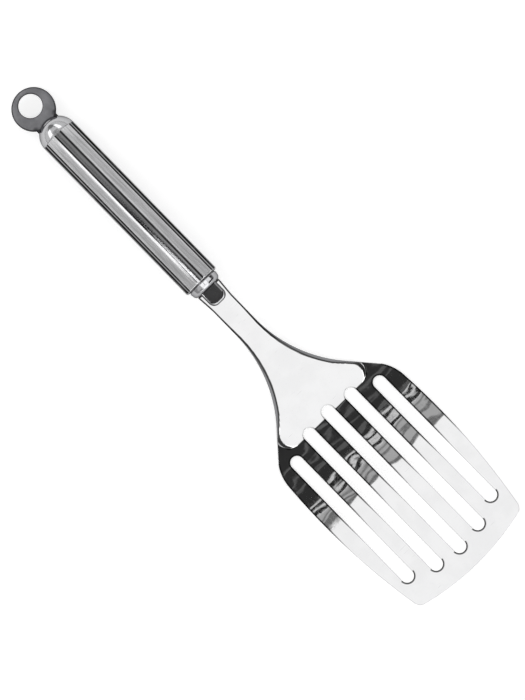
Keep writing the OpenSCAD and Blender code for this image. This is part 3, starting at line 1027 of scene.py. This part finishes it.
class Wiring:
    """Adds nodes to the tree of a material or of the world, and links them."""

    def __init__(self, tree):
        self.nodes, self.links = tree.nodes, tree.links

    def feed(self, socket, value):
        """Gives a socket a number, a colour or another node's result."""
        if isinstance(value, bpy.types.NodeSocket):
            self.links.new(value, socket)
        else:
            socket.default_value = (*value, 1) if isinstance(value, tuple) else value

    def math(self, how, *values):
        """Sums, products and the like of values and numbers."""
        node = self.nodes.new("ShaderNodeMath")
        node.operation = how
        for socket, value in zip(node.inputs, values):
            self.feed(socket, value)
        return node.outputs[0]

    def ranged(self, value, low, high, to_low=0.0, to_high=1.0):
        """A value moved from one range to another, softly."""
        node = self.nodes.new("ShaderNodeMapRange")
        node.interpolation_type = "SMOOTHSTEP"
        bounds = ("From Min", "From Max", "To Min", "To Max")
        for key, number in zip(bounds, (low, high, to_low, to_high)):
            node.inputs[key].default_value = number
        self.links.new(value, node.inputs["Value"])
        return node.outputs["Result"]

    def apart(self, vector):
        """The X, Y and Z of a vector."""
        node = self.nodes.new("ShaderNodeSeparateXYZ")
        self.links.new(vector, node.inputs[0])
        return node.outputs


class Finish(Wiring):
    """A steel finish that is put together node by node."""

    def __init__(self, name, colour, roughness):
        self.material = bpy.data.materials.new(name)
        self.material.use_nodes = True
        super().__init__(self.material.node_tree)
        self.shader = self.nodes["Principled BSDF"]
        plain = {
            "Base Color": colour,
            "Roughness": roughness,
            "Metallic": 1,
            "Specular Tint": GRAZING,
        }
        for socket, value in plain.items():
            self.feed(self.shader.inputs[socket], value)
        self.place = self.nodes.new("ShaderNodeTexCoord").outputs["Object"]
        self.normal = None

    def stretched(self, scale, rotation=(0, 0, 0)):
        """Object coordinates, turned and then stretched."""
        node = self.nodes.new("ShaderNodeMapping")
        node.inputs["Rotation"].default_value = rotation
        node.inputs["Scale"].default_value = scale
        self.links.new(self.place, node.inputs["Vector"])
        return node.outputs["Vector"]

    def noise(self, vector, scale, detail=3.0, roughness=0.5):
        """Soft noise from 0 to 1."""
        node = self.nodes.new("ShaderNodeTexNoise")
        for key, number in (("Scale", scale), ("Detail", detail), ("Roughness", roughness)):
            node.inputs[key].default_value = number
        self.links.new(vector, node.inputs["Vector"])
        return node.outputs["Fac"]

    def blend(self, factor, first, second):
        """A colour between two others."""
        node = self.nodes.new("ShaderNodeMix")
        node.data_type = "RGBA"
        self.links.new(factor, node.inputs["Factor"])
        for key, colour in (("A", first), ("B", second)):
            self.feed(next(i for i in node.inputs if i.name == key and i.type == "RGBA"), colour)
        return next(o for o in node.outputs if o.type == "RGBA")

    def attribute(self, name):
        """A value that was noted on the mesh."""
        node = self.nodes.new("ShaderNodeAttribute")
        node.attribute_name = name
        return node.outputs["Fac"]

    def distance(self, point):
        """How far the surface is from a point."""
        node = self.nodes.new("ShaderNodeVectorMath")
        node.operation = "DISTANCE"
        self.links.new(self.place, node.inputs[0])
        node.inputs[1].default_value = point
        return node.outputs["Value"]

    def bump(self, height, distance, strength=1.0):
        """Raises the surface by a height map, on top of earlier ones."""
        node = self.nodes.new("ShaderNodeBump")
        node.inputs["Strength"].default_value = strength
        node.inputs["Distance"].default_value = distance
        self.links.new(height, node.inputs["Height"])
        if self.normal:
            self.links.new(self.normal, node.inputs["Normal"])
        self.normal = node.outputs["Normal"]
        self.set("Normal", self.normal)

    def set(self, socket, value):
        """Feeds one of the shader's sockets."""
        self.links.new(value, self.shader.inputs[socket])

    def stain(self, attribute, colour):
        """Lays a colour over the finish where an attribute says."""
        below = self.shader.inputs["Base Color"].links[0].from_socket
        self.set("Base Color", self.blend(self.attribute(attribute), below, colour))

    def polish(self, colour, smooth, rough, clouded=0.93, scratched=0.82):
        """Clouds, small scratches and a fine haze; gives the clouds and the haze's roughness."""
        cloud = self.noise(self.place, 90, 4)
        haze = self.noise(self.place, 900, 2)
        scratch = self.noise(self.stretched((3000, 160, 160), (0.3, 0.2, 0.9)), 1, 1)
        tone = self.blend(self.ranged(cloud, 0.35, 0.65), colour, darker(colour, clouded))
        nicks = self.ranged(scratch, 0.72, 0.8)
        self.set("Base Color", self.blend(nicks, tone, darker(colour, scratched)))
        return cloud, self.ranged(haze, 0.3, 0.7, smooth, rough)


def darker(colour, share):
    """A colour with a share of its light."""
    return tuple(c * share for c in colour)


def polished_steel(name, colour, smooth, rough):
    """The polish of the collar, the dome and the nose."""
    finish = Finish(name, colour, smooth)
    cloud, haze = finish.polish(colour, smooth, rough)
    finish.set("Roughness", haze)
    finish.bump(cloud, 0.01 * MM, 0.3)
    return finish


def sheet_steel(form, colours):
    """Mirror polish with the slow waves and fine ripples that pressing leaves in the sheet."""
    w, colour = form.shade_and_waves, tuple(colours.sheet)
    finish = Finish("polished_sheet", colour, 0.03)
    _, haze = finish.polish(colour, 0.01, 0.03, clouded=0.96, scratched=0.85)
    finish.stain("fold", tuple(colours.fold))
    # Painted shade inside the folds
    finish.stain("crease", tuple(colours.cut))
    # Painted shade and painted dark reflection along the sheet's edges
    finish.stain("cut_edge", tuple(colours.cut))
    duller = finish.math("MULTIPLY", finish.attribute("fold"), 0.06)
    finish.set("Roughness", finish.math("ADD", haze, duller))
    finish.bump(finish.noise(finish.stretched((80, 60, 80)), 1, 1), w.wave_h * MM)
    ripple = finish.noise(finish.stretched((330, 36, 330)), 1, 1)
    middle, reach = form.world_x(form.heel_x + w.ripple_middle), w.ripple_reach * MM
    along = finish.math("SUBTRACT", finish.apart(finish.place)["X"], middle)
    near = finish.ranged(finish.math("ABSOLUTE", along), reach / 2, reach, 1, 0)
    finish.bump(finish.math("MULTIPLY", ripple, near), w.ripple_h * MM)
    return finish.material


def tube_steel(form, colours):
    """Lengthwise brushed lands, and flutes whose floors and lips are painted darker as shade."""
    finish = Finish("tube_steel", tuple(colours.lands), 0.2)
    axis = (0, form.tilt, 0)
    grain = finish.noise(finish.stretched((70, 4200, 4200), axis), 1, 3, 0.6)
    streaks = finish.noise(finish.stretched((14, 900, 900), axis), 1, 2)
    shade_and_waves = finish.noise(finish.place, 140, 4, 0.6)
    dark_grain, light_grain = darker(colours.lands, 0.86), darker(colours.lands, 1.08)
    land = finish.blend(finish.ranged(grain, 0.3, 0.7), dark_grain, light_grain)
    land = finish.blend(finish.ranged(streaks, 0.4, 0.75), land, darker(colours.lands, 0.8))
    # Painted shade: the flutes' floors are painted darker than the lands
    light, dark = tuple(colours.flutes), darker(colours.flutes, 0.75)
    flute = finish.blend(finish.ranged(streaks, 0.3, 0.7), light, dark)
    sunk = finish.attribute("flute")
    tone = finish.blend(finish.ranged(sunk, 0.05, 0.6), land, flute)
    # Painted shade along the flutes' lips, made patchy by noise
    lip_shade = finish.ranged(finish.attribute("flute_lip"), 0.15, 0.8)
    lip_shade = finish.math("MULTIPLY", lip_shade, finish.ranged(shade_and_waves, 0.25, 0.5, 0.8, 1))
    finish.set("Base Color", finish.blend(lip_shade, tone, tuple(colours.lip_shade)))
    rough = finish.ranged(grain, 0.3, 0.7, 0.13, 0.17)
    finish.set("Roughness", finish.math("SUBTRACT", rough, finish.math("MULTIPLY", sunk, 0.11)))
    finish.bump(grain, 0.01 * MM, 0.35)
    finish.bump(shade_and_waves, 0.02 * MM, 0.08)
    return finish.material


def disc_steel(form, colours):
    """Dark, dull plate, with painted shade along its rims and in the corners beside its stem."""
    h, colour = form.handle, tuple(colours.disc)
    finish = Finish("disc_steel", colour, 0.4)
    grit = finish.noise(finish.place, 2600, 3, 0.6)
    cloud = finish.noise(finish.place, 160, 4, 0.6)
    tone = finish.blend(finish.ranged(cloud, 0.3, 0.7), darker(colour, 0.85), darker(colour, 1.15))

    def beyond(x, near, far):
        """How far a place is between two distances, in millimetres, from a point on the axis."""
        middle = form.resting_place @ Vector((x, 0, 0))
        return finish.ranged(finish.distance(middle), near * MM, far * MM)

    # Painted shade along the rims of the disc and of its hole
    outer = beyond(-h.eye_reach, h.eye_d / 2 - 0.8, h.eye_d / 2 - 0.3)
    hole_r = h.eye_hole_d / 2
    inner = beyond(-h.eye_reach - h.eye_hole_shift, hole_r + 0.8, hole_r + 0.2)
    edge = finish.math("MULTIPLY", finish.math("MAXIMUM", outer, inner), 0.85)
    tone = finish.blend(edge, tone, darker(colour, 0.15))
    # Painted shade in the corners where the stem meets the dome
    for side in (-1, 1):
        stem_corner = form.resting_place @ Vector((-h.tube_d / 2 + 0.4, side * h.stem_w / 2, 0))
        corner_shade = finish.ranged(finish.distance(stem_corner), 1.2 * MM, 2.6 * MM, 0.85, 0)
        corner_shade = finish.math("MULTIPLY", corner_shade, finish.ranged(cloud, 0.3, 0.5, 0.6, 1))
        tone = finish.blend(corner_shade, tone, darker(colour, 0.1))
    finish.set("Base Color", tone)
    finish.set("Roughness", finish.ranged(grit, 0.3, 0.7, 0.34, 0.48))
    finish.bump(grit, 0.03 * MM, 0.4)
    return finish.material


# Stage

# The camera's right side and back as directions, what it looks at in metres, and its lens
CAMERA_RIGHT = Vector((0.69742, 0.71608, 0.02895))
CAMERA_BACK = Vector((-0.03154, -0.00969, 0.99946))
CAMERA_TARGET = Vector((0.01301, -0.00202, 0.010))
CAMERA_LENS, CAMERA_SENSOR = 153.42, 36
# Where the lamp hangs, in metres
LAMP_PLACE = (-0.6, -0.5, 1.3)
# The paper's own tone, and the glow that brings it up to white where it is seen or reflected
PAPER, PAPER_GLOW = (0.8, 0.8, 0.8), 0.53


class SPATULA_OT_stage(bpy.types.Operator):
    """Sets the floor, the surrounding light and the camera"""

    bl_idname = "spatula.stage"
    bl_label = "Stage"

    def execute(self, context):
        stage = context.scene.spatula_stage
        clear_selection()
        bpy.ops.mesh.primitive_plane_add(size=stage.floor_w)
        floor = bpy.context.object
        floor.name = "floor"
        floor.data.materials.append(floor_paper())
        bpy.ops.object.light_add(type="AREA", location=LAMP_PLACE)
        lamp = bpy.context.object
        lamp.data.shape = "DISK"
        lamp.data.size = stage.lamp_w
        lamp.data.energy = stage.lamp_power
        lamp.visible_glossy = False
        lamp.rotation_euler = Vector(lamp.location).to_track_quat("Z", "Y").to_euler()
        world = bpy.data.worlds.new("studio")
        context.scene.world = world
        world.use_nodes = True
        Surroundings(world.node_tree).light()
        self.set_camera(stage.camera_far)
        context.scene.view_settings.view_transform = "Standard"
        return {"FINISHED"}

    def set_camera(self, far):
        """Looks down on the spatula as the photograph does."""
        bpy.ops.object.camera_add()
        camera = bpy.context.object
        back = CAMERA_BACK.normalized()
        up = back.cross(CAMERA_RIGHT).normalized()
        turned = Matrix((up.cross(back), up, back)).transposed().to_4x4()
        camera.matrix_world = Matrix.Translation(CAMERA_TARGET + far * back) @ turned
        camera.data.lens = CAMERA_LENS
        camera.data.sensor_width = CAMERA_SENSOR
        camera.data.clip_end = 20
        bpy.context.scene.camera = camera


def floor_paper():
    """White paper that shows as white, and keeps the shadow."""
    material = bpy.data.materials.new("floor_paper")
    material.use_nodes = True
    wiring = Wiring(material.node_tree)
    shader = wiring.nodes["Principled BSDF"]
    path = wiring.nodes.new("ShaderNodeLightPath").outputs
    seen = wiring.math("MAXIMUM", path["Is Camera Ray"], path["Is Glossy Ray"])
    paper = {
        "Base Color": PAPER,
        "Roughness": 1.0,
        "Specular IOR Level": 0.0,
        "Emission Color": (1, 1, 1),
        "Emission Strength": wiring.math("MULTIPLY", seen, PAPER_GLOW),
    }
    for socket, value in paper.items():
        wiring.feed(shader.inputs[socket], value)
    return material


# What the steel reflects, by direction from the zenith in degrees. Each row holds a range towards
# the tip and how soft its ends are, the same towards +Y, and the tone there. Later rows lie over
# earlier ones. The rows of STRIPES lean as the stripes on the blade do.
WALLS = (
    # Behind the handle, for the dome
    (-90, -34, 2, -85, 85, 4, 0.95),
    (-34, -19, 2, 26, 64, 4, 0.9),
    (-34, -19, 2, -64, -26, 4, 0.9),
    (-90, -50, 4, -50, 40, 6, 0.28),
    # Bright and farther up, for the front of the blade
    (-60, -12.2, 0.15, -44, 20, 3, 1.0),
    # Ahead, bright for the neck and dark for its far fold
    (7.5, 34, 0.6, -26, 26, 2, 1.02),
    (18, 70, 1, 36, 80, 2.5, 0.05),
    # Ahead, for the collar, with a gap for the heel
    (7.5, 17, 1, 26, 60, 3, 1.8),
    (7.5, 17, 1, -75, -26, 3, 1.0),
    (5.8, 19, 0.6, -27, -1.4, 0.8, 2.5),
    (5.8, 19, 0.6, 3.0, 26, 0.8, 2.5),
    (26.5, 70, 1, -32, 30, 3, 2.5),
    (70, 95, 2, -76, 76, 3, 2.5),
    # Grey overhead, with a dark line against the bright wall
    (-12.2, -7, 0.1, -30, 28, 2, 0.42),
    (-12.2, -11.8, 0.1, -3, 4, 1, 0.16),
)
STRIPES = (
    # Light and dark in turn
    (-11.6, -11.3, 0.1, -3, 4, 1, 0.16),
    (-10.9, -10.6, 0.1, -3, 4, 1, 0.2),
    (-10.3, -8.6, 0.05, -3, 4, 1, 0.62),
    (-10.15, -9.7, 0.04, -3, 4, 1, 0.02),
    (-9.35, -8.95, 0.04, -3, 4, 1, 0.02),
    # The dark flag overhead, with faint lines in it
    (-8.6, 3, 0.15, -25, 28, 2, 0.03),
    (-6.8, -6.5, 0.1, -3, 4, 1, 0.09),
    (-5.8, -5.5, 0.1, -3, 4, 1, 0.10),
    (-4.8, -4.5, 0.1, -3, 4, 1, 0.12),
)
LAMPS = (
    # A dim line for the nose's flat, and a patch for the top flute's far half
    (-7.35, -6.9, 0.05, -3, 4, 1, 0.10),
    (-8.7, -7.45, 0.1, 2.9, 10, 0.5, 0.6),
    # Strips of light on the lands beside the top flute
    (-16, -6.8, 0.3, -38, -26, 1.5, 1.9),
    (-16, -8, 0.5, 30, 38, 2, 1.0),
    # Two lamps, for the highlights on the dome
    (-66, -30, 3, 29, 50, 3, 2.6),
    (-64, -28, 3, -52, -24, 3, 2.6),
)
# How much the stripes lean, and between which directions towards +Y they do
LEAN, LEAN_FROM, LEAN_TO = 0.72, -1.5, 3.0
# The white wedge in the top flute: its slant, where it ends, its ranges and its tone
WEDGE_SLANT, WEDGE_END = 14, (107, 114)
WEDGE_ALONG, WEDGE_ACROSS, WEDGE_TONE = (-9.4, -7.38, 0.04), (-27, -2.1, 0.3), 3.2
# Tones of the room at the horizon and overhead, of the backdrop and of the light on dull surfaces
HORIZON, OVERHEAD, BACKDROP, ROOM_LIGHT = 0.55, 0.6, 1.0, 0.55


class Surroundings(Wiring):
    """The world: white to the camera, and lamps and dark flags to the steel."""

    def __init__(self, tree):
        super().__init__(tree)
        direction = self.nodes.new("ShaderNodeTexCoord").outputs["Generated"]
        self.direction = self.apart(direction)
        self.tone = self.ranged(self.direction["Z"], 0.0, 0.9, HORIZON, OVERHEAD)

    def from_zenith(self, side):
        """How far a direction turns from the zenith to one side, in degrees."""
        return self.math("DEGREES", self.math("ARCTAN2", self.direction[side], self.direction["Z"]))

    def window(self, value, start, end, soft):
        """1 between two values and 0 outside them."""
        rise = self.ranged(value, start - soft, start + soft)
        return self.math("MULTIPLY", rise, self.ranged(value, end - soft, end + soft, 1, 0))

    def lay(self, mask, tone):
        """Lays a tone over what is there."""
        kept = self.math("MULTIPLY", self.tone, self.math("SUBTRACT", 1.0, mask))
        self.tone = self.math("ADD", kept, self.math("MULTIPLY", mask, tone))

    def light(self):
        """Lays every lamp and flag over the room, and sets the background."""
        along, across = self.from_zenith("X"), self.from_zenith("Y")
        held = self.math("MINIMUM", self.math("MAXIMUM", across, LEAN_FROM), LEAN_TO)
        leaning = self.math("SUBTRACT", along, self.math("MULTIPLY", held, LEAN))
        for lengthwise, rows in ((along, WALLS), (leaning, STRIPES), (along, LAMPS)):
            for start, end, soft, left, right, side_soft, tone in rows:
                mask = self.window(lengthwise, start, end, soft)
                mask = self.math("MULTIPLY", mask, self.window(across, left, right, side_soft))
                self.lay(mask, tone)
        slanting = self.math("SUBTRACT", across, self.math("MULTIPLY", along, WEDGE_SLANT))
        wedge = self.ranged(slanting, *WEDGE_END, 1, 0)
        wedge = self.math("MULTIPLY", wedge, self.window(across, *WEDGE_ACROSS))
        wedge = self.math("MULTIPLY", wedge, self.window(along, *WEDGE_ALONG))
        self.lay(wedge, WEDGE_TONE)
        path = self.nodes.new("ShaderNodeLightPath").outputs
        self.lay(path["Is Camera Ray"], BACKDROP)
        self.lay(path["Is Diffuse Ray"], ROOM_LIGHT)
        background = self.nodes["Background"]
        self.feed(background.inputs["Color"], (1, 1, 1))
        self.feed(background.inputs["Strength"], self.tone)


class SPATULA_PT_pieces(bpy.types.Panel):
    """Lists the spatula's sizes and the operators that make its pieces"""

    bl_idname = "SPATULA_PT_pieces"
    bl_label = "Fish spatula"
    bl_space_type = "VIEW_3D"
    bl_region_type = "UI"
    bl_category = "Spatula"

    def draw(self, context):
        for operator in PIECES:
            self.layout.operator(operator.bl_idname)
        for group in GROUPS:
            box = self.layout.box()
            sizes = getattr(context.scene, group)
            for key in sizes.bl_rna.properties.keys():
                if key not in {"rna_type", "name"}:
                    box.prop(sizes, key)


PIECES = (
    SPATULA_OT_blade,
    SPATULA_OT_tang_bar,
    SPATULA_OT_collar,
    SPATULA_OT_handle_tube,
    SPATULA_OT_end_dome,
    SPATULA_OT_hanging_eye,
    SPATULA_OT_stage,
)
GROUPS = {
    "spatula_handle": SpatulaHandleSizes,
    "spatula_head": SpatulaHeadSizes,
    "spatula_wear": SpatulaShadeAndWaves,
    "spatula_stage": SpatulaStage,
    "spatula_colours": SpatulaColours,
}


def register():
    """Makes the sizes, operators and panel known."""
    for kind in (*GROUPS.values(), *PIECES, SPATULA_PT_pieces):
        bpy.utils.register_class(kind)
    for key, group in GROUPS.items():
        setattr(bpy.types.Scene, key, bpy.props.PointerProperty(type=group))


def unregister():
    """Takes the sizes, operators and panel away again."""
    for key in GROUPS:
        delattr(bpy.types.Scene, key)
    for kind in reversed((*GROUPS.values(), *PIECES, SPATULA_PT_pieces)):
        bpy.utils.unregister_class(kind)


def main():
    """Makes every piece and the stage."""
    register()
    for operator in PIECES:
        group, name = operator.bl_idname.split(".")
        getattr(getattr(bpy.ops, group), name)()


if __name__ == "__main__":
    main()
